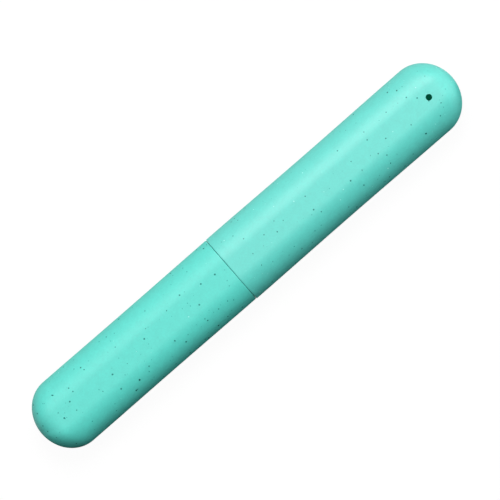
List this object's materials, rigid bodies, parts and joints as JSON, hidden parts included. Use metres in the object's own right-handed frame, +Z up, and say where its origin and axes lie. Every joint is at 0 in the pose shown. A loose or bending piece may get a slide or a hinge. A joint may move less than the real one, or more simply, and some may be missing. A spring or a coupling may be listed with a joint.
{
  "type": "toothbrush travel case",
  "caption": "Flat-sided plastic tube with round ends that pulls apart into a short base shell and a longer vented cap, to carry a toothbrush.",
  "frame": {"origin": "middle of the closed case's footprint, on the surface it lies on", "axes": "+X along the case from the closed end of the base shell to the closed end of the vented cap, which is the way the cap pulls off; +Y across the case; +Z up, through the flat with the vent"},
  "size_m": [0.21, 0.03, 0.0224],
  "materials": {
    "flecked_turquoise_plastic": "fine matt moulding texture with sparse dark flecks and a few pale ones"
  },
  "bodies": {
    "base": {"base_shell": "flecked_turquoise_plastic"},
    "cap": {"vented_cap": "flecked_turquoise_plastic"}
  },
  "joints": [
    {"name": "cap_slide", "type": "slide", "parent": "base", "child": "cap", "axis": [1, 0, 0], "range_m": [0, 0.12]}
  ]
}
